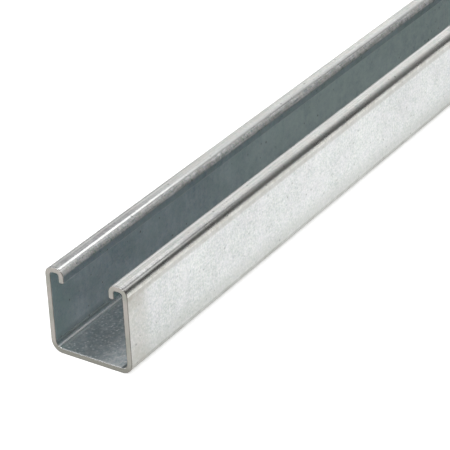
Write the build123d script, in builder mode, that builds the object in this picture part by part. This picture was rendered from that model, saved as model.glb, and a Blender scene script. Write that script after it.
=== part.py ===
from build123d import *
import os

# Plain 41 mm strut channel, roll formed from one strip of galvanised steel.
# It lies on its back: +X runs along the length, +Y across the slot and +Z out of the slot.
# The origin is the middle of the back's outer face. All sizes are in millimetres.

# Driving sizes
length = 1000.0
width = 41.3
height = 41.3
thickness = 2.5
rail_width = 9.3
lip_depth = 6.7

# Inside radii of the bends: beside the back, at the top of each wall, and into each lip
back_bend = 3.0
rail_bend = 1.5
lip_bend = 1.0

# Flat left in the middle of the strip's rolled edges, which end the lips
edge_flat = 0.3

# Places that follow from the sizes above
wall_face = width / 2
lip_face = wall_face - rail_width
lip_tip = height - lip_depth
edge_rounding = (thickness - edge_flat) / 2
outside_radii = [back_bend + thickness, rail_bend + thickness, lip_bend + thickness]

# The outer face of half the strip runs from the middle of the back round to the lip's tip.
# The other face lies one thickness inside it, so every bend is concentric and the wall is even.
with BuildPart() as strut_channel:
    with BuildSketch(Plane.YZ.offset(-length / 2)) as section:
        with BuildLine():
            outer_face = FilletPolyline(
                (0, 0),
                (wall_face, 0),
                (wall_face, height),
                (lip_face, height),
                (lip_face, lip_tip),
                radius=outside_radii,
            )
            offset(outer_face, amount=thickness, side=Side.LEFT)
        make_face()
        tip_corners = section.vertices().filter_by_position(Axis.Y, lip_tip, lip_tip)
        fillet(tip_corners, radius=edge_rounding)
        mirror(about=Plane.YZ)
    extrude(amount=length)

strut_channel.part.label = "strut_channel"

os.makedirs("parts", exist_ok=True)
export_step(strut_channel.part, "parts/strut_channel.step")
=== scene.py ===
"""Looks of a plain strut channel: one galvanised, roll-formed strip lying on its back on a studio floor.

The strip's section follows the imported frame's overall width and height. Lengths in the dataclasses
are millimetres; meshes are in metres, in the frame's own axes: +X along the channel, +Z out of the slot.
"""

import logging
import math
from dataclasses import dataclass
from enum import Enum
from functools import partial
from typing import Any

import bmesh
import bpy
from mathutils import Matrix, Vector

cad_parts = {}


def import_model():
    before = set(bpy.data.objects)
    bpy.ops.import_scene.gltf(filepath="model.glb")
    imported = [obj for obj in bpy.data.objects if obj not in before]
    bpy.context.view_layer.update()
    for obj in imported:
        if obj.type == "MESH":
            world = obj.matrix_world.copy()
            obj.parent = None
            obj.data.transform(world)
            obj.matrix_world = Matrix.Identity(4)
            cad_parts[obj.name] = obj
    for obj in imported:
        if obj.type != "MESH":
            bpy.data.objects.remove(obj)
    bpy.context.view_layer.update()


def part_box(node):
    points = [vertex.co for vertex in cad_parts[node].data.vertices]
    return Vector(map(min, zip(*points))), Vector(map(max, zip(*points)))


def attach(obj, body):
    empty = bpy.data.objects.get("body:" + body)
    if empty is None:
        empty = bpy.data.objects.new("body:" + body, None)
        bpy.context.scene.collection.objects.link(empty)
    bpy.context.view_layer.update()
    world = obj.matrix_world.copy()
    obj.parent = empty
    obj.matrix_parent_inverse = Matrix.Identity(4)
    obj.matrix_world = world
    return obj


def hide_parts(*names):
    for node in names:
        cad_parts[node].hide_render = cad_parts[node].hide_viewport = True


MM = 0.001
IMAGE_PIXELS = 450
CAD_NODE = "strut_channel"
BODY = "root"

# How squarely a face looks along the channel: a cut end does more than the first, its rims more than the second.
END_FACING = 0.98
RIM_FACING = 0.2
# Points closer than this many metres are the same point.
WELD = 1e-6

log = logging.getLogger("strut_channel")


class Skin(Enum):
    """The stretches of the strip's surface that were finished in different ways, by material slot. The cut's rims come
    as a lit copy and a shaded copy.
    """

    OUTSIDE = 0
    RAIL = 1
    INSIDE = 2
    BACK_BEND = 3
    SLOT_CREST = 4
    LIP_FLANK = 5
    LIP_EDGE = 6
    CUT_END = 7
    CUT_RIM = 8
    CUT_BURR = 9
    INSIDE_BACK = 10
    LIP_FACE = 11


class Along(Enum):
    """What a band of tone is measured along."""

    HEIGHT = 0
    FROM_END = 1
    ACROSS = 2


def linear(code: str) -> tuple[float, float, float, float]:
    """Turns an sRGB hex colour into linear light.

    Args:
        code: Six hex digits, with or without a leading "#".

    Returns:
        Linear red, green and blue, and an alpha of 1.
    """
    digits = code.lstrip("#")
    channels = [int(digits[i:i + 2], 16) / 255 for i in (0, 2, 4)]
    red, green, blue = [c / 12.92 if c <= 0.04045 else ((c + 0.055) / 1.055) ** 2.4 for c in channels]
    return red, green, blue, 1.0


def per_mm(size: float) -> float:
    """Gives the texture scale at which a pattern's features are about `size` millimetres across."""
    return 1 / (size * MM)


def direction(azimuth: float, elevation: float) -> Vector:
    """Gives the unit vector at an azimuth from +X towards +Y and an elevation, in degrees."""
    a, e = math.radians(azimuth), math.radians(elevation)
    return Vector((math.cos(e) * math.cos(a), math.cos(e) * math.sin(a), math.sin(e)))


def add(tree: bpy.types.NodeTree, kind: str, inputs: dict[str | int, Any] | None = None,
        **settings: Any) -> bpy.types.Node:
    """Adds one node with its settings, values and links.

    Args:
        tree: The node tree that gets the node.
        kind: The node's type name, such as "ShaderNodeTexNoise".
        inputs: Input name or number, with a value to set or an output socket to link.
        settings: Properties of the node itself, such as operation="MULTIPLY".

    Returns:
        The new node.
    """
    node = tree.nodes.new(kind)
    for name, value in settings.items():
        setattr(node, name, value)
    for name, value in (inputs or {}).items():
        if isinstance(value, bpy.types.NodeSocket):
            tree.links.new(value, node.inputs[name])
        else:
            node.inputs[name].default_value = value
    return node


def new_material(name: str) -> tuple[bpy.types.Material, bpy.types.NodeTree]:
    """Makes an empty node material.

    Args:
        name: What the finish is called.

    Returns:
        The material and its cleared node tree.
    """
    material = bpy.data.materials.new(name)
    material.use_nodes = True
    material.node_tree.nodes.clear()
    return material, material.node_tree


@dataclass(frozen=True)
class ToneBand:
    """A band where the zinc has another tone, faded at both of its edges. Distances are millimetres.

    A band that lies `within` another shows only where the two cross. The outer one needs no tone.
    """

    along: Along
    start: float
    end: float
    fade_in: float
    fade_out: float
    amount: float = 1.0
    tone: str = "#000000"
    within: "ToneBand | None" = None

    def mask(self, tree: bpy.types.NodeTree, places: dict[Along, bpy.types.NodeSocket]) -> bpy.types.NodeSocket:
        """Builds the band's strength.

        Args:
            tree: The node tree of the zinc.
            places: Height above the back, distance from the nearer cut end and distance to the
                left of the middle, in metres.

        Returns:
            The band's strength, 0 off the band and `amount` in its middle.
        """
        place = places[self.along]
        rise = add(tree, "ShaderNodeMapRange", {
            "Value": place, "From Min": (self.start - self.fade_in) * MM, "From Max": self.start * MM,
        }, interpolation_type="SMOOTHSTEP")
        fall = add(tree, "ShaderNodeMapRange", {
            "Value": place, "From Min": self.end * MM, "From Max": (self.end + self.fade_out) * MM,
            "To Min": self.amount, "To Max": 0.0,
        }, interpolation_type="SMOOTHSTEP")
        band = add(tree, "ShaderNodeMath", {0: rise.outputs[0], 1: fall.outputs[0]}, operation="MULTIPLY").outputs[0]
        if self.within is None:
            return band
        outer = self.within.mask(tree, places)
        return add(tree, "ShaderNodeMath", {0: band, 1: outer}, operation="MULTIPLY").outputs[0]


@dataclass(frozen=True)
class ZincSheet:
    """Hot-dip zinc on cold-rolled strip, temper rolled before forming.

    The bath leaves a fine matt spangle, the temper rolls press it into a cool satin grey, and the
    forming rolls rub faint lines along the strip and leave its bends wavy. Sizes are millimetres.
    Shares and amounts run from 0 to 1, and so do the levels of a noise, which averages 0.5.
    """

    name: str
    light_tone: str
    dark_tone: str
    roughness: float
    half_length: float

    # How strong each finer layer of a noise is against the one above it.
    soft_gain: float = 0.6
    crisp_gain: float = 0.9

    # Clouds and mottle: places where the coating is a little thicker, smoother and lighter.
    cloud_size: float = 30.0
    cloud_levels: tuple[float, float] = (0.3, 0.7)
    roughness_swing: float = 0.05
    mottle_size: float = 7.0
    mottle_share: float = 0.6
    contrast: float = 0.15

    # Streaks that the forming rolls rub along the strip, and runs of zinc across it.
    streak_width: float = 0.7
    streak_length: float = 60.0
    streak_share: float = 0.0
    run_width: float = 2.5
    run_length: float = 22.0
    run_share: float = 0.0

    # Spangle. The real one is about half a millimetre, finer than the render shows, so its grain and its
    # relief are drawn two or three times as coarse.
    grain_size: float = 1.3
    grain_share: float = 0.5
    grain_grey: float = 0.55
    spangle_size: float = 1.5
    spangle_depth: float = 0.012

    # The faint second colour of zinc that has begun to dull.
    tint_tone: str = "#E4DDD8"
    tint_size: float = 9.0
    tint_amount: float = 0.45
    tint_levels: tuple[float, float] = (0.42, 0.72)
    tint_shift: tuple[float, float, float] = (310.0, 170.0, 230.0)

    # Specks of dross, or bright flecks where their tone is light.
    speck_tone: str = "#70726F"
    speck_spacing: float = 4.0
    speck_size: float = 0.9
    speck_amount: float = 0.75

    # Lines and waves that the forming rolls leave in the surface.
    roll_line_width: float = 0.8
    roll_line_length: float = 160.0
    roll_line_depth: float = 0.004
    wave_length: float = 14.0
    wave_width: float = 5.0
    wave_depth: float = 0.03

    # Bands of another tone, for wear and for painted light and shade, made ragged by the mottle.
    wear: tuple[ToneBand, ...] = ()
    ragged_levels: tuple[float, float] = (0.35, 0.65)
    ragged_gains: tuple[float, float] = (0.6, 1.4)

    def drawn(self, tree: bpy.types.NodeTree, place: bpy.types.NodeSocket, length: float,
              width: float) -> bpy.types.NodeSocket:
        """Adds a noise whose patches have another size along the channel than round its section.

        Args:
            tree: The node tree of the zinc.
            place: Position in the piece, in metres.
            length: Size of its patches along the channel, in millimetres.
            width: Their size across it and upwards, in millimetres.

        Returns:
            The noise, from 0 to 1.
        """
        drawn = add(tree, "ShaderNodeMapping", {
            "Vector": place, "Scale": (per_mm(length), per_mm(width), per_mm(width)),
        })
        return add(tree, "ShaderNodeTexNoise", {"Vector": drawn.outputs[0], "Scale": 1.0, "Detail": 2.0}).outputs["Fac"]

    def sheet(self, tree: bpy.types.NodeTree, place: bpy.types.NodeSocket, clouds: bpy.types.NodeSocket,
              mottle: bpy.types.NodeSocket) -> bpy.types.NodeSocket:
        """Builds the clean coating's colour, between its dark tone and its light one.

        Args:
            tree: The node tree of the zinc.
            place: Position in the piece, in metres.
            clouds: The large, soft patches.
            mottle: The small, crisp patches.

        Returns:
            The colour.
        """
        patterns = (
            (self.mottle_share, mottle),
            (self.streak_share, self.drawn(tree, place, self.streak_length, self.streak_width)),
            (self.run_share, self.drawn(tree, place, self.run_width, self.run_length)),
        )
        mixed = clouds
        for share, pattern in patterns:
            mixed = add(tree, "ShaderNodeMix", {0: share, 2: mixed, 3: pattern}, data_type="FLOAT").outputs[0]
        tone = add(tree, "ShaderNodeMapRange", {
            "Value": mixed, "From Min": 0.5 - self.contrast, "From Max": 0.5 + self.contrast,
        })
        return add(tree, "ShaderNodeMix", {
            0: tone.outputs[0], 6: linear(self.dark_tone), 7: linear(self.light_tone),
        }, data_type="RGBA").outputs[2]

    def grain(self, tree: bpy.types.NodeTree, place: bpy.types.NodeSocket) -> bpy.types.NodeSocket:
        """Builds the spangle's grain, which is nearly grey.

        Args:
            tree: The node tree of the zinc.
            place: Position in the piece, in metres.

        Returns:
            The grain, to be laid over the colour.
        """
        noise = add(tree, "ShaderNodeTexNoise", {
            "Vector": place, "Scale": per_mm(self.grain_size), "Detail": 2.0, "Roughness": self.crisp_gain,
        })
        return add(tree, "ShaderNodeMix", {
            0: self.grain_grey, 6: noise.outputs["Color"], 7: noise.outputs["Fac"],
        }, data_type="RGBA").outputs[2]

    def tint(self, tree: bpy.types.NodeTree, place: bpy.types.NodeSocket) -> bpy.types.NodeSocket:
        """Spreads the second colour in soft patches, which are moved off those of the clouds.

        Args:
            tree: The node tree of the zinc.
            place: Position in the piece, in metres.

        Returns:
            The second colour's strength.
        """
        moved = add(tree, "ShaderNodeMapping", {"Vector": place, "Location": Vector(self.tint_shift) * MM})
        noise = add(tree, "ShaderNodeTexNoise", {
            "Vector": moved.outputs[0], "Scale": per_mm(self.tint_size), "Detail": 3.0, "Roughness": self.soft_gain,
        })
        return add(tree, "ShaderNodeMapRange", {
            "Value": noise.outputs["Fac"], "From Min": self.tint_levels[0], "From Max": self.tint_levels[1],
            "To Min": 0.0, "To Max": self.tint_amount,
        }).outputs[0]

    def specks(self, tree: bpy.types.NodeTree, place: bpy.types.NodeSocket) -> bpy.types.NodeSocket:
        """Scatters soft specks of many sizes, whose radius is up to `speck_size`.

        Args:
            tree: The node tree of the zinc.
            place: Position in the piece, in metres.

        Returns:
            The specks' strength.
        """
        cells = add(tree, "ShaderNodeTexVoronoi", {"Vector": place, "Scale": per_mm(self.speck_spacing)})
        chance = add(tree, "ShaderNodeSeparateColor", {0: cells.outputs["Color"]})
        reach = add(tree, "ShaderNodeMath", {
            0: chance.outputs[0], 1: self.speck_size / self.speck_spacing,
        }, operation="MULTIPLY")
        return add(tree, "ShaderNodeMapRange", {
            "Value": cells.outputs["Distance"], "From Min": 0.0, "From Max": reach.outputs[0],
            "To Min": self.speck_amount, "To Max": 0.0,
        }, interpolation_type="SMOOTHSTEP").outputs[0]

    def band_masks(self, tree: bpy.types.NodeTree, place: bpy.types.NodeSocket,
             mottle: bpy.types.NodeSocket) -> list[bpy.types.NodeSocket]:
        """Builds the strength of each band of tone.

        Args:
            tree: The node tree of the zinc.
            place: Position in the piece, in metres.
            mottle: The small patches that make the bands ragged.

        Returns:
            One strength for each band, in order.
        """
        parts = add(tree, "ShaderNodeSeparateXYZ", {0: place}).outputs
        inward = add(tree, "ShaderNodeMath", {0: parts["X"]}, operation="ABSOLUTE")
        from_end = add(tree, "ShaderNodeMath", {0: self.half_length * MM, 1: inward.outputs[0]}, operation="SUBTRACT")
        places = {Along.HEIGHT: parts["Z"], Along.FROM_END: from_end.outputs[0], Along.ACROSS: parts["Y"]}
        ragged = add(tree, "ShaderNodeMapRange", {
            "Value": mottle, "From Min": self.ragged_levels[0], "From Max": self.ragged_levels[1],
            "To Min": self.ragged_gains[0], "To Max": self.ragged_gains[1],
        })
        return [
            add(tree, "ShaderNodeMath", {0: band.mask(tree, places), 1: ragged.outputs[0]},
                operation="MULTIPLY", use_clamp=True).outputs[0]
            for band in self.wear
        ]

    def colour(self, tree: bpy.types.NodeTree, place: bpy.types.NodeSocket,
               clouds: bpy.types.NodeSocket) -> bpy.types.NodeSocket:
        """Builds the zinc's colour: grained, faintly tinted, speckled, and another tone along its bands, which stand
        for wear and for painted light and shade.

        Args:
            tree: The node tree of the zinc.
            place: Position in the piece, in metres.
            clouds: The large, soft patches.

        Returns:
            The colour.
        """
        mottle = add(tree, "ShaderNodeTexNoise", {
            "Vector": place, "Scale": per_mm(self.mottle_size), "Detail": 4.0, "Roughness": self.crisp_gain,
        }).outputs["Fac"]
        layers: list[tuple[Any, Any, str]] = [
            (self.grain_share, self.grain(tree, place), "OVERLAY"),
            (self.tint(tree, place), linear(self.tint_tone), "MIX"),
        ]
        for band, mask in zip(self.wear, self.band_masks(tree, place, mottle)):
            layers.append((mask, linear(band.tone), "MIX"))
        layers.append((self.specks(tree, place), linear(self.speck_tone), "MIX"))

        colour = self.sheet(tree, place, clouds, mottle)
        for amount, over, mode in layers:
            colour = add(tree, "ShaderNodeMix", {
                0: amount, 6: colour, 7: over,
            }, data_type="RGBA", blend_type=mode).outputs[2]
        return colour

    def relief(self, tree: bpy.types.NodeTree, place: bpy.types.NodeSocket) -> bpy.types.NodeSocket:
        """Builds the zinc's fine relief: spangle, roll lines and the bends' waviness.

        Args:
            tree: The node tree of the zinc.
            place: Position in the piece, in metres.

        Returns:
            The bumped surface direction.
        """
        spangle = add(tree, "ShaderNodeTexNoise", {
            "Vector": place, "Scale": per_mm(self.spangle_size), "Detail": 2.0, "Roughness": self.soft_gain,
        })
        layers = (
            (spangle.outputs["Fac"], self.spangle_depth),
            (self.drawn(tree, place, self.roll_line_length, self.roll_line_width), self.roll_line_depth),
            (self.drawn(tree, place, self.wave_length, self.wave_width), self.wave_depth),
        )
        turned: dict[str, Any] = {}
        for height, depth in layers:
            bump = add(tree, "ShaderNodeBump", {"Height": height, "Distance": depth * MM, "Strength": 1.0, **turned})
            turned = {"Normal": bump.outputs[0]}
        return turned["Normal"]

    def material(self) -> bpy.types.Material:
        """Builds the zinc's node material.

        Returns:
            The material, ready for a mesh slot.
        """
        material, tree = new_material(self.name)
        place = add(tree, "ShaderNodeTexCoord").outputs["Object"]
        clouds = add(tree, "ShaderNodeTexNoise", {
            "Vector": place, "Scale": per_mm(self.cloud_size), "Detail": 2.0, "Roughness": self.soft_gain,
        }).outputs["Fac"]
        rough = add(tree, "ShaderNodeMapRange", {
            "Value": clouds, "From Min": self.cloud_levels[0], "From Max": self.cloud_levels[1],
            "To Min": self.roughness + self.roughness_swing, "To Max": self.roughness - self.roughness_swing,
        })
        shader = add(tree, "ShaderNodeBsdfPrincipled", {
            "Base Color": self.colour(tree, place, clouds), "Metallic": 1.0, "Roughness": rough.outputs[0],
            "Normal": self.relief(tree, place),
        })
        add(tree, "ShaderNodeOutputMaterial", {"Surface": shader.outputs[0]})
        return material


@dataclass(frozen=True)
class SawnSteel:
    """Bare steel at a cut end, sawn across after forming.

    The blade leaves fine parallel scores that spread the light, and the bare steel is warmer and
    duller than the zinc beside it. Up to `foot_height` it turns to `foot_tone`, when it has one.
    Sizes are millimetres.
    """

    name: str
    light_tone: str
    dark_tone: str
    roughness: float
    blotch_size: float = 8.0
    blotch_levels: tuple[float, float] = (0.35, 0.65)
    foot_tone: str | None = None
    foot_height: float = 0.0
    foot_fade: float = 1.0

    # A saw's real scores lie about 0.2 mm apart, finer than the render shows, so they are drawn wider.
    score_pitch: float = 0.6
    score_length: float = 4.0
    score_depth: float = 0.02
    score_angle: float = 35.0

    def material(self) -> bpy.types.Material:
        """Builds the sawn steel's node material.

        Returns:
            The material, ready for a mesh slot.
        """
        material, tree = new_material(self.name)
        place = add(tree, "ShaderNodeTexCoord").outputs["Object"]
        across = add(tree, "ShaderNodeMapping", {
            "Vector": place, "Rotation": (math.radians(self.score_angle), 0.0, 0.0),
            "Scale": (per_mm(self.score_length), per_mm(self.score_length), per_mm(self.score_pitch)),
        })
        scores = add(tree, "ShaderNodeTexNoise", {"Vector": across.outputs[0], "Scale": 1.0, "Detail": 3.0})
        blotch = add(tree, "ShaderNodeTexNoise", {"Vector": place, "Scale": per_mm(self.blotch_size), "Detail": 4.0})
        share = add(tree, "ShaderNodeMapRange", {
            "Value": blotch.outputs["Fac"], "From Min": self.blotch_levels[0], "From Max": self.blotch_levels[1],
        })
        colour = add(tree, "ShaderNodeMix", {
            0: share.outputs[0], 6: linear(self.dark_tone), 7: linear(self.light_tone),
        }, data_type="RGBA")
        if self.foot_tone is not None:
            above = add(tree, "ShaderNodeMapRange", {
                "Value": add(tree, "ShaderNodeSeparateXYZ", {0: place}).outputs["Z"],
                "From Min": self.foot_height * MM, "From Max": (self.foot_height + self.foot_fade) * MM,
            })
            colour = add(tree, "ShaderNodeMix", {
                0: above.outputs[0], 6: linear(self.foot_tone), 7: colour.outputs[2],
            }, data_type="RGBA")
        bump = add(tree, "ShaderNodeBump", {
            "Height": scores.outputs["Fac"], "Distance": self.score_depth * MM, "Strength": 1.0,
        })
        shader = add(tree, "ShaderNodeBsdfPrincipled", {
            "Base Color": colour.outputs[2], "Metallic": 1.0, "Roughness": self.roughness,
            "Normal": bump.outputs[0],
        })
        add(tree, "ShaderNodeOutputMaterial", {"Surface": shader.outputs[0]})
        return material


Finish = ZincSheet | SawnSteel


@dataclass
class StrutSection:
    """The strip's section, as rolled: a flat back, two walls, two rails and two returned lips.

    Bend radii are inside radii. Width and height are over the outside faces. The lips' bends are
    burnished where their direction's upward part is over `crest`, and galled down to `flank`. A
    cut's rim is a burr, painted near white as a highlight, where its upward part is over
    `lit_burr_up` and its sideways part under `lit_burr_side`; elsewhere it is painted shade. A
    narrow shoulder at each end of a flat keeps the bends' shading off it.
    """

    width: float
    height: float
    thickness: float = 2.5
    rail_width: float = 9.3
    lip_depth: float = 6.7
    back_bend: float = 3.0
    rail_bend: float = 1.5
    lip_bend: float = 1.0
    edge_rounding: float = 1.1
    crest: float = 0.83
    flank: float = 0.06
    lit_burr_up: float = 0.3
    lit_burr_side: float = 0.3
    shoulder: float = 0.6
    bend_steps: int = 20
    tip_steps: int = 8

    def run(self, bm: bmesh.types.BMesh, edge: bmesh.types.BMEdge, across: float, up: float) -> bmesh.types.BMEdge:
        """Carries the strip's thickness edge along a flat, with a narrow shoulder at each end.

        Args:
            bm: The mesh under construction.
            edge: The edge across the strip's thickness where the flat starts.
            across: How far the flat goes along +Y, in millimetres.
            up: How far it goes along +Z, in millimetres.

        Returns:
            The thickness edge where the flat ends.
        """
        flat = Vector((0.0, across, up))
        if flat.length > 3 * self.shoulder:
            shoulder = flat.normalized() * self.shoulder
            steps = [shoulder, flat - 2 * shoulder, shoulder]
        else:
            steps = [flat]
        for step in steps:
            made = bmesh.ops.extrude_edge_only(bm, edges=[edge])["geom"]
            edge = next(item for item in made if isinstance(item, bmesh.types.BMEdge))
            bmesh.ops.translate(bm, verts=list(edge.verts), vec=step * MM)
        return edge

    def bend(self, bm: bmesh.types.BMesh, edge: bmesh.types.BMEdge, centre: tuple[float, float]) -> bmesh.types.BMEdge:
        """Turns the thickness edge a quarter round a bend's centre.

        Args:
            bm: The mesh under construction.
            edge: The edge across the strip's thickness where the bend starts.
            centre: The bend's centre, Y and Z in millimetres.

        Returns:
            The thickness edge where the bend ends.
        """
        made = bmesh.ops.spin(
            bm, geom=[edge, *edge.verts], cent=Vector((0.0, *centre)) * MM, axis=(1.0, 0.0, 0.0),
            angle=-math.pi / 2, steps=self.bend_steps, use_duplicate=False,
        )["geom_last"]
        return next(item for item in made if isinstance(item, bmesh.types.BMEdge))

    def half(self, bm: bmesh.types.BMesh) -> None:
        """Lays out the left half of the section in the plane X = 0, from the lip's tip to mid back.

        Args:
            bm: The empty mesh that gets the half section.
        """
        wall_face = self.width / 2
        lip_face = wall_face - self.rail_width
        tip = self.height - self.lip_depth
        back_radius = self.back_bend + self.thickness
        rail_radius = self.rail_bend + self.thickness
        lip_radius = self.lip_bend + self.thickness
        corners = [bm.verts.new(Vector((0.0, y, tip)) * MM) for y in (lip_face, lip_face + self.thickness)]
        edge = bm.edges.new(corners)

        edge = self.run(bm, edge, 0.0, self.lip_depth - lip_radius)
        edge = self.bend(bm, edge, (lip_face + lip_radius, self.height - lip_radius))
        edge = self.run(bm, edge, self.rail_width - lip_radius - rail_radius, 0.0)
        edge = self.bend(bm, edge, (wall_face - rail_radius, self.height - rail_radius))
        edge = self.run(bm, edge, 0.0, rail_radius + back_radius - self.height)
        edge = self.bend(bm, edge, (wall_face - back_radius, back_radius))
        self.run(bm, edge, back_radius - wall_face, 0.0)
        bmesh.ops.remove_doubles(bm, verts=bm.verts, dist=WELD)

    def draw(self, bm: bmesh.types.BMesh) -> None:
        """Draws the whole section in the plane X = 0, with the strip's rolled edges rounded.

        Args:
            bm: The empty mesh that gets the section.
        """
        self.half(bm)
        bmesh.ops.mirror(bm, geom=[*bm.verts, *bm.edges, *bm.faces], axis="Y", merge_dist=WELD)
        tip = (self.height - self.lip_depth) * MM
        slot = (self.width / 2 - self.rail_width + self.thickness) * MM
        corners = [v for v in bm.verts if abs(v.co.z - tip) < WELD and abs(v.co.y) < slot + WELD]
        bmesh.ops.bevel(
            bm, geom=corners, offset=self.edge_rounding * MM, offset_type="OFFSET", segments=self.tip_steps,
            profile=0.5, affect="VERTICES", material=-1,
        )

    def skin_at(self, centre: Vector, normal: Vector) -> Skin:
        """Says which stretch of the strip's surface a face belongs to.

        Args:
            centre: The face's middle, in metres.
            normal: The face's outward direction.

        Returns:
            The finish that the face shows.
        """
        if abs(normal.x) > END_FACING:
            return Skin.CUT_END
        if abs(normal.x) > RIM_FACING:
            # Upward rims are the burr, painted near white as a highlight; the others are painted shade.
            lit_burr = normal.z > self.lit_burr_up and abs(normal.y) < self.lit_burr_side
            return Skin.CUT_BURR if lit_burr else Skin.CUT_RIM
        side, height = abs(centre.y) / MM, centre.z / MM
        half = self.width / 2
        lip_face = half - self.rail_width
        outward = normal.y * math.copysign(1.0, centre.y)
        in_lip = height > self.height / 2 and side < lip_face + self.lip_bend + self.thickness
        if in_lip and height < self.height - self.lip_depth + self.edge_rounding and side < lip_face + self.thickness:
            return Skin.LIP_EDGE
        if in_lip and outward < 0.0:
            if normal.z > self.crest:
                return Skin.SLOT_CREST
            return Skin.LIP_FLANK if normal.z > self.flank else Skin.LIP_FACE
        if self.is_outer(centre, outward, normal.z):
            return Skin.RAIL if height > self.height - self.rail_bend - self.thickness else Skin.OUTSIDE
        back_radius = self.back_bend + self.thickness
        if height < back_radius:
            return Skin.BACK_BEND if side > half - back_radius else Skin.INSIDE_BACK
        return Skin.INSIDE

    def is_outer(self, centre: Vector, outward: float, upward: float) -> bool:
        """Tells the strip's outer face from its inner face.

        Args:
            centre: The face's middle, in metres.
            outward: The part of the face's direction that points away from the middle plane.
            upward: The part of the face's direction that points up.

        Returns:
            True on the outside of the walls, the back, the rails and their bends.
        """
        side, height = abs(centre.y) / MM, centre.z / MM
        half = self.width / 2
        back_radius = self.back_bend + self.thickness
        rail_radius = self.rail_bend + self.thickness
        if height < back_radius:
            if side < half - back_radius:
                return height < self.thickness / 2
            reach = math.hypot(side - half + back_radius, height - back_radius)
            return reach > back_radius - self.thickness / 2
        if height > self.height - rail_radius:
            if side < half - rail_radius:
                return height > self.height - self.thickness / 2
            reach = math.hypot(side - half + rail_radius, height - self.height + rail_radius)
            return reach > rail_radius - self.thickness / 2
        return side > half - self.thickness / 2


@dataclass
class StrutChannel:
    """One length of roll-formed strut channel, with its two cut ends. Lengths are millimetres.

    It starts at X = `start` and lies at Z = `foot`. A loop of edges `hold` from each end keeps the
    shading straight along the channel.
    """

    section: StrutSection
    finishes: dict[Skin, Finish]
    start: float
    foot: float
    length: float
    cut_rounding: float = 0.25
    cut_steps: int = 2
    hold: float = 1.0

    def mesh(self) -> bpy.types.Mesh:
        """Extrudes the section, eases the cut edges and marks each face's finish.

        Returns:
            The channel's mesh, in place.
        """
        bm = bmesh.new()
        self.section.draw(bm)
        bmesh.ops.translate(bm, verts=bm.verts, vec=(self.start * MM, 0.0, self.foot * MM))
        made = bmesh.ops.extrude_face_region(bm, geom=list(bm.faces))["geom"]
        moved = [item for item in made if isinstance(item, bmesh.types.BMVert)]
        bmesh.ops.translate(bm, verts=moved, vec=(self.length * MM, 0.0, 0.0))
        for place in (self.start + self.hold, self.start + self.length - self.hold):
            bmesh.ops.bisect_plane(
                bm, geom=[*bm.verts, *bm.edges, *bm.faces], plane_co=(place * MM, 0.0, 0.0), plane_no=(1.0, 0.0, 0.0))
        bmesh.ops.recalc_face_normals(bm, faces=bm.faces)
        rims = [edge for edge in bm.edges if self.is_rim(edge)]
        bmesh.ops.bevel(
            bm, geom=rims, offset=self.cut_rounding * MM, offset_type="OFFSET", segments=self.cut_steps,
            profile=0.5, affect="EDGES", material=-1, clamp_overlap=True,
        )
        bmesh.ops.recalc_face_normals(bm, faces=bm.faces)
        for face in bm.faces:
            face.smooth = abs(face.normal.x) < END_FACING
            face.material_index = self.section.skin_at(face.calc_center_median(), face.normal).value
        mesh = bpy.data.meshes.new(CAD_NODE)
        bm.to_mesh(mesh)
        bm.free()
        return mesh

    def is_rim(self, edge: bmesh.types.BMEdge) -> bool:
        """Finds the edges where a cut end meets the strip's faces.

        Args:
            edge: An edge of the extruded channel.

        Returns:
            True when exactly one of its two faces is a cut end.
        """
        ends = [abs(face.normal.x) > END_FACING for face in edge.link_faces]
        return len(ends) == 2 and ends[0] != ends[1]

    def build(self) -> bpy.types.Object:
        """Makes the channel's object and dresses it.

        Returns:
            The finished piece, linked to the scene.
        """
        piece = bpy.data.objects.new("formed_channel", self.mesh())
        bpy.context.scene.collection.objects.link(piece)
        for skin in Skin:
            piece.data.materials.append(self.finishes[skin].material())
        return piece


@dataclass(frozen=True)
class Lamp:
    """A lamp far enough away to light the whole channel alike. Angles are degrees."""

    name: str
    azimuth: float
    elevation: float
    spread: float
    strength: float

    def build(self) -> bpy.types.Object:
        """Hangs the lamp.

        Returns:
            The lamp's object.
        """
        lamp = bpy.data.lights.new(self.name, "SUN")
        lamp.energy = self.strength
        lamp.angle = math.radians(self.spread)
        light = bpy.data.objects.new(self.name, lamp)
        light.rotation_euler = direction(self.azimuth, self.elevation).to_track_quat("Z", "Y").to_euler()
        bpy.context.scene.collection.objects.link(light)
        return light


@dataclass(frozen=True)
class Panel:
    """A square soft box near the cut end, which puts highlights on the near bends. Lengths are millimetres."""

    name: str
    aim: tuple[float, float, float]
    azimuth: float
    elevation: float
    distance: float
    size: float
    radiance: float

    def build(self) -> bpy.types.Object:
        """Hangs the panel.

        Returns:
            The panel's object.
        """
        lamp = bpy.data.lights.new(self.name, "AREA")
        lamp.shape = "SQUARE"
        lamp.size = self.size * MM
        lamp.energy = self.radiance * math.pi * (self.size * MM) ** 2
        light = bpy.data.objects.new(self.name, lamp)
        towards = direction(self.azimuth, self.elevation)
        turn = towards.to_track_quat("Z", "Y").to_matrix().to_4x4()
        light.matrix_world = Matrix.Translation((Vector(self.aim) + towards * self.distance) * MM) @ turn
        bpy.context.scene.collection.objects.link(light)
        return light


@dataclass(frozen=True)
class Glow:
    """A round patch of the room, even inside `core` and fading out to `edge`. Angles are degrees."""

    azimuth: float
    elevation: float
    level: float
    edge: float
    core: float = 0.0

    def strength(self, tree: bpy.types.NodeTree, place: bpy.types.NodeSocket) -> bpy.types.NodeSocket:
        """Builds the patch's light.

        Args:
            tree: The room's node tree.
            place: The direction looked in.

        Returns:
            The light that the patch adds.
        """
        near = add(tree, "ShaderNodeVectorMath", {
            0: place, 1: direction(self.azimuth, self.elevation),
        }, operation="DOT_PRODUCT")
        return add(tree, "ShaderNodeMapRange", {
            "Value": near.outputs["Value"], "From Min": math.cos(math.radians(self.edge)),
            "From Max": math.cos(math.radians(self.core)), "To Min": 0.0, "To Max": self.level,
        }).outputs[0]


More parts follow.
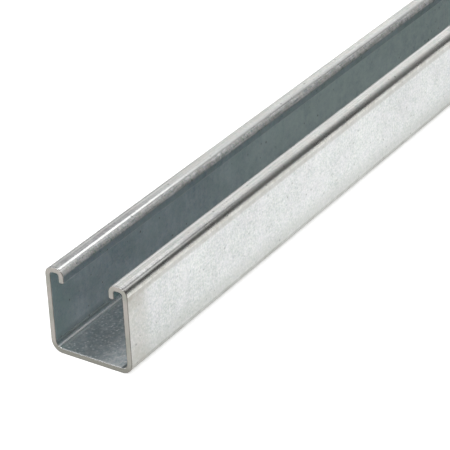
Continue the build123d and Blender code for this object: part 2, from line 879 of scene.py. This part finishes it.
@dataclass
class Studio:
    """A pale floor, two soft lamps, two small panels and a dim room with bright patches.

    The floor is `floor_size` metres wide and lies `floor_drop` millimetres under the channel, so
    that the two don't share a plane.
    """

    floor_size: float = 60.0
    floor_drop: float = 0.05
    floor_tone: str = "#E6E6E6"
    floor_lift: float = 0.64
    room_level: float = 0.06
    # One from above the camera, and a faint one from the left, which catches the cut end's burr.
    lamps: tuple[Lamp, ...] = (
        Lamp("overhead_light", azimuth=-150.0, elevation=60.0, spread=50.0, strength=1.7),
        Lamp("left_light", azimuth=135.0, elevation=46.0, spread=30.0, strength=0.22),
    )
    # One for the tops of the bends at the cut end, and one for their right-hand sides.
    panels: tuple[Panel, ...] = (
        Panel("near_panel", aim=(-505.0, 13.0, 40.0), azimuth=5.0, elevation=47.0, distance=450.0, size=160.0,
              radiance=1.40),
        Panel("front_panel", aim=(-505.0, -10.0, 40.0), azimuth=-28.0, elevation=39.0, distance=250.0, size=80.0,
              radiance=0.6),
    )
    # Two behind the channel, which the rails' tops show; one to the left, for the left rail's outer bend;
    # one low on the right, for the right rail's; and the ceiling.
    glows: tuple[Glow, ...] = (
        Glow(azimuth=20.0, elevation=25.0, level=0.50, edge=26.0, core=10.0),
        Glow(azimuth=20.0, elevation=15.0, level=0.72, edge=52.0),
        Glow(azimuth=62.0, elevation=20.0, level=0.50, edge=25.0, core=8.0),
        Glow(azimuth=-50.0, elevation=-4.0, level=0.30, edge=22.0, core=8.0),
        Glow(azimuth=-60.0, elevation=85.0, level=1.20, edge=45.0),
    )

    def floor(self) -> bpy.types.Object:
        """Lays the floor, which shows white and still takes the channel's shadow.

        Returns:
            The floor's object.
        """
        bm = bmesh.new()
        bmesh.ops.create_grid(bm, x_segments=1, y_segments=1, size=self.floor_size / 2)
        bmesh.ops.translate(bm, verts=bm.verts, vec=(0.0, 0.0, -self.floor_drop * MM))
        mesh = bpy.data.meshes.new("floor")
        bm.to_mesh(mesh)
        bm.free()
        floor = bpy.data.objects.new("floor", mesh)
        bpy.context.scene.collection.objects.link(floor)

        material, tree = new_material("matt_white_floor")
        rays = add(tree, "ShaderNodeLightPath")
        seen = add(tree, "ShaderNodeMath", {
            0: rays.outputs["Is Camera Ray"], 1: rays.outputs["Is Glossy Ray"],
        }, operation="ADD")
        seen = add(tree, "ShaderNodeMath", {
            0: seen.outputs[0], 1: rays.outputs["Is Transmission Ray"],
        }, operation="ADD", use_clamp=True)
        lift = add(tree, "ShaderNodeMath", {0: seen.outputs[0], 1: self.floor_lift}, operation="MULTIPLY")
        paint = add(tree, "ShaderNodeBsdfDiffuse", {"Color": linear(self.floor_tone)})
        glow = add(tree, "ShaderNodeEmission", {"Strength": lift.outputs[0]})
        both = add(tree, "ShaderNodeAddShader", {0: paint.outputs[0], 1: glow.outputs[0]})
        add(tree, "ShaderNodeOutputMaterial", {"Surface": both.outputs[0]})
        mesh.materials.append(material)
        return floor

    def room(self) -> None:
        """Lights the room: dim all round, with soft bright patches for the zinc to mirror."""
        world = bpy.data.worlds.new("studio_room")
        world.use_nodes = True
        tree = world.node_tree
        tree.nodes.clear()
        place = add(tree, "ShaderNodeTexCoord").outputs["Generated"]
        level: Any = self.room_level
        for glow in self.glows:
            level = add(tree, "ShaderNodeMath", {0: level, 1: glow.strength(tree, place)}, operation="ADD").outputs[0]
        back = add(tree, "ShaderNodeBackground", {"Strength": level})
        add(tree, "ShaderNodeOutputWorld", {"Surface": back.outputs[0]})
        bpy.context.scene.world = world

    def build(self) -> bpy.types.Object:
        """Sets up the floor, the lights and the room.

        Returns:
            The floor.
        """
        for light in (*self.lamps, *self.panels):
            light.build()
        self.room()
        bpy.context.scene.view_settings.view_transform = "Standard"
        return self.floor()


@dataclass
class ProductCamera:
    """The camera, placed from the foot of the near cut end. Angles are degrees, distances millimetres."""

    foot: Vector
    azimuth: float = -55.982
    elevation: float = 28.996
    roll: float = -2.592
    depth: float = 847.9
    right_of_foot: float = 55.14
    above_foot: float = 57.28
    focal_pixels: float = 2044.1
    sensor: float = 36.0
    nearest: float = 10.0
    farthest: float = 200_000.0

    def build(self) -> bpy.types.Object:
        """Makes the camera and sets it as the scene's.

        Returns:
            The camera's object.
        """
        a, e, r = (math.radians(angle) for angle in (self.azimuth, self.elevation, self.roll))
        back = Vector((math.sin(a) * math.cos(e), -math.cos(a) * math.cos(e), math.sin(e)))
        level = Vector((0.0, 0.0, 1.0)).cross(back).normalized()
        upright = back.cross(level)
        right = level * math.cos(r) + upright * math.sin(r)
        up = upright * math.cos(r) - level * math.sin(r)
        place = self.foot + (right * self.right_of_foot + up * self.above_foot + back * self.depth) * MM

        lens = bpy.data.cameras.new("product_camera")
        lens.sensor_width = self.sensor
        lens.lens = self.focal_pixels / IMAGE_PIXELS * self.sensor
        lens.clip_start = self.nearest * MM
        lens.clip_end = self.farthest * MM
        camera = bpy.data.objects.new("product_camera", lens)
        turn = Matrix((right, up, back)).transposed().to_4x4()
        camera.matrix_world = Matrix.Translation(place) @ turn
        bpy.context.scene.collection.objects.link(camera)
        bpy.context.scene.camera = camera
        return camera


def channel_finishes(half_length: float) -> dict[Skin, Finish]:
    """Chooses the finish of each stretch of the strip's surface.

    Args:
        half_length: Half of the channel's length, in millimetres.

    Returns:
        One finish for each skin.
    """
    zinc = partial(ZincSheet, half_length=half_length)
    # A band that starts or ends past the channel doesn't fade there. The first three only bound other bands.
    rolled_edge = ToneBand(Along.HEIGHT, start=40.8, end=41.2, fade_in=0.3, fade_out=0.08)
    left_top = ToneBand(Along.ACROSS, start=14.4, end=15.9, fade_in=0.6, fade_out=1.8)
    under_rail = ToneBand(Along.HEIGHT, start=36.0, end=60.0, fade_in=9.0, fade_out=1.0)
    # The left lip's bend is greyer than the right one's, and the left rail's top is painted darker near the cut end:
    # painted shade.
    left_crest = ToneBand(Along.ACROSS, start=0.0, end=30.0, fade_in=1.0, fade_out=1.0, amount=0.5, tone="#BFC2C0")
    left_top_painted_shade = ToneBand(
        Along.FROM_END, start=-1.0, end=40.0, fade_in=1.0, fade_out=70.0, amount=0.55, tone="#8A888E", within=left_top)
    # Painted shade: a grey band under the rail, for the darker reflection where the wall begins to turn, and a darker
    # foot, for the floor's shade that the wall mirrors there. Near the cut the wall is also darker and warmer, most
    # under the rail.
    wall_wear = (
        ToneBand(Along.HEIGHT, start=35.8, end=60.0, fade_in=1.2, fade_out=1.0, amount=0.70, tone="#A8A7A2"),
        ToneBand(Along.HEIGHT, start=-1.0, end=5.0, fade_in=1.0, fade_out=10.0, amount=0.55, tone="#ABADA8"),
        ToneBand(Along.HEIGHT, start=-1.0, end=4.4, fade_in=1.0, fade_out=1.0, amount=0.60, tone="#8B8C86"),
        ToneBand(Along.FROM_END, start=-1.0, end=7.0, fade_in=1.0, fade_out=10.0, amount=0.40, tone="#A09C93"),
        ToneBand(Along.FROM_END, start=-1.0, end=4.0, fade_in=1.0, fade_out=14.0, amount=0.30, tone="#857F75",
             within=under_rail),
    )
    # Painted shade: the wall's grey band runs on up the start of the rails' outer bends. The top of those bends is
    # darker near the cut end, which dims the highlight there, and so is the left rail's top.
    rail_wear = (
        ToneBand(Along.HEIGHT, start=30.0, end=38.5, fade_in=1.0, fade_out=0.6, amount=0.68, tone="#A7A59E"),
        ToneBand(Along.FROM_END, start=-1.0, end=60.0, fade_in=1.0, fade_out=90.0, amount=0.62, tone="#8A8A8C",
             within=rolled_edge),
        left_top_painted_shade,
    )
    # Inside, the walls are darker just above the back, painted shade in that crease; the zinc is greener near the ends;
    # and painted light makes it paler from about 80 mm in from each end.
    inside_wear = (
        ToneBand(Along.HEIGHT, start=-1.0, end=6.0, fade_in=1.0, fade_out=2.5, amount=0.30, tone="#8E9698"),
        ToneBand(Along.FROM_END, start=-1.0, end=4.0, fade_in=1.0, fade_out=16.0, amount=0.35, tone="#B4CFC8"),
        ToneBand(Along.FROM_END, start=230.0, end=600.0, fade_in=150.0, fade_out=1.0, amount=0.65, tone="#F6FFFA"),
    )
    return {
        # Hot-dipped zinc pressed flat by the temper rolls, and touched by no forming roll since: a cool, pale
        # satin whose fine clouded spangle scatters the light evenly.
        Skin.OUTSIDE: zinc(
            "galvanised_outside", "#CACDCB", "#B7BAB9", 0.34, mottle_share=0.7, run_share=0.15, tint_tone="#D2CED3",
            tint_amount=0.35, grain_size=1.1, grain_share=0.72, grain_grey=0.85, wear=wall_wear),
        # The same zinc, slid along and squeezed by the forming rolls: smoother and brighter, with streaks and
        # waves along the channel that break up its highlights.
        Skin.RAIL: zinc(
            "galvanised_rail", "#EDEFEB", "#C4C8C5", 0.28, grain_share=0.8, grain_grey=0.7, streak_share=0.45,
            wave_depth=0.07, tint_amount=0.6, wear=rail_wear),
        # Zinc that only the bath and the temper rolls touched, with faint runs up the walls: bluish green and
        # soft, because it shows little but the channel's own shade.
        Skin.INSIDE: zinc(
            "galvanised_inside", "#EEF4F7", "#C4CED4", 0.38, run_share=0.2, tint_tone="#C6D6D4", tint_size=12.0,
            tint_amount=0.55, grain_size=1.1, grain_share=0.9, grain_grey=0.8, wear=inside_wear),
        # The channel's floor, with the same coating under a thin film of dust: grey, and full of small bright
        # flecks where spangle shows through.
        Skin.INSIDE_BACK: zinc(
            "galvanised_inside_back", "#E2EAED", "#B4BEC3", 0.42, tint_tone="#FFFFFF", tint_size=2.5,
            tint_amount=1.0, mottle_size=4.0, mottle_share=0.8, grain_share=0.9, grain_grey=0.8,
            speck_tone="#FFFFFF", speck_spacing=1.3, speck_size=1.0, speck_amount=0.8, spangle_depth=0.06,
            # Painted shade: the back is darker towards the left wall, whose shadow falls on it.
            wear=(ToneBand(Along.ACROSS, start=4.0, end=40.0, fade_in=18.0, fade_out=1.0, amount=0.55, tone="#8B9396"),)),
        # The inside of the bends beside the back, squeezed smooth by the inner roll: a soft light line.
        Skin.BACK_BEND: zinc("galvanised_back_bend", "#DCE2E3", "#B4BCBE", 0.26, streak_share=0.4),
        # The tops of the lips' bends, burnished by the roll that turned them in: the sharpest highlight.
        Skin.SLOT_CREST: zinc(
            "burnished_slot_crest", "#FFFFFF", "#E4E6E4", 0.28, grain_share=0.6, streak_share=0.5, wave_depth=0.08,
            wear=(left_crest, left_top_painted_shade)),
        # The sides of those bends, where the roll scraped and tore the zinc: rough, glittering and uneven.
        Skin.LIP_FLANK: zinc(
            "galled_lip", "#FFFFFF", "#B4B8B6", 0.62, mottle_size=4.0, mottle_share=0.9, contrast=0.12, grain_size=1.0,
            grain_share=0.9, spangle_size=1.2, spangle_depth=0.10, streak_length=12.0, streak_share=0.3,
            # Painted shade: the flank is darker low down, where it turns down into the slot.
            wear=(ToneBand(Along.HEIGHT, start=30.0, end=37.7, fade_in=1.0, fade_out=1.2, amount=0.45, tone="#7E8A8E"),)),
        # The flats of the lips, as the bath and the temper rolls left them: an even grey in the slot's shade.
        Skin.LIP_FACE: zinc("galvanised_lip_face", "#DDE5E9", "#B8C2C8", 0.36, tint_tone="#CBD6CE"),
        # The strip's edges, rounded by edge rolls before the bath: near white and soft, so that the lips' tips show a
        # light line, partly a painted highlight.
        Skin.LIP_EDGE: zinc("galvanised_strip_edge", "#FFFFFF", "#F4F8F8", 0.55),
        # Bare steel, sawn across after forming: warm grey and duller than the zinc, with fine scores that spread
        # the light, and greyer along its foot.
        Skin.CUT_END: SawnSteel(
            "sawn_steel_end", "#ADA5A1", "#96978F", 0.45, foot_tone="#87867F", foot_height=2.4, foot_fade=3.0),
        # The cut's corners that face sideways or down: darker than the cut, painted shade, and near black along the
        # floor,
        # a painted contact shadow: a thin dark outline.
        Skin.CUT_RIM: SawnSteel(
            "shaded_steel_rim", "#8A8782", "#6E6B67", 0.45, foot_tone="#262523", foot_height=0.5, foot_fade=1.5),
        # The cut's upward corners: a burr where the blade folded zinc over the edge, painted near white as a highlight:
        # a bright bead.
        Skin.CUT_BURR: SawnSteel("burr_and_highlight_rim", "#FFFFFF", "#EAEDED", 0.24),
    }


def main() -> None:
    """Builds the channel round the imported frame, then the studio and the camera."""
    logging.basicConfig(level=logging.INFO, format="%(name)s: %(message)s")
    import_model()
    low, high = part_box(CAD_NODE)
    # A micron less on each side keeps the mesh's rounded coordinates inside the CAD box.
    margin = Vector((0.001, 0.001, 0.001))
    size = (high - low) / MM - 2 * margin
    start = low / MM + margin

    section = StrutSection(width=size.y, height=size.z)
    finishes = channel_finishes(half_length=size.x / 2)
    channel = StrutChannel(section, finishes, start=start.x, foot=start.z, length=size.x)
    piece = channel.build()
    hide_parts(CAD_NODE)
    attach(piece, BODY)
    log.info("%s: %d faces, %.0f mm long", piece.name, len(piece.data.polygons), size.x)

    floor = Studio().build()
    ProductCamera(foot=Vector((low.x, 0.0, low.z))).build()
    log.info("floor, light and camera are in place")


if __name__ == "__main__":
    main()
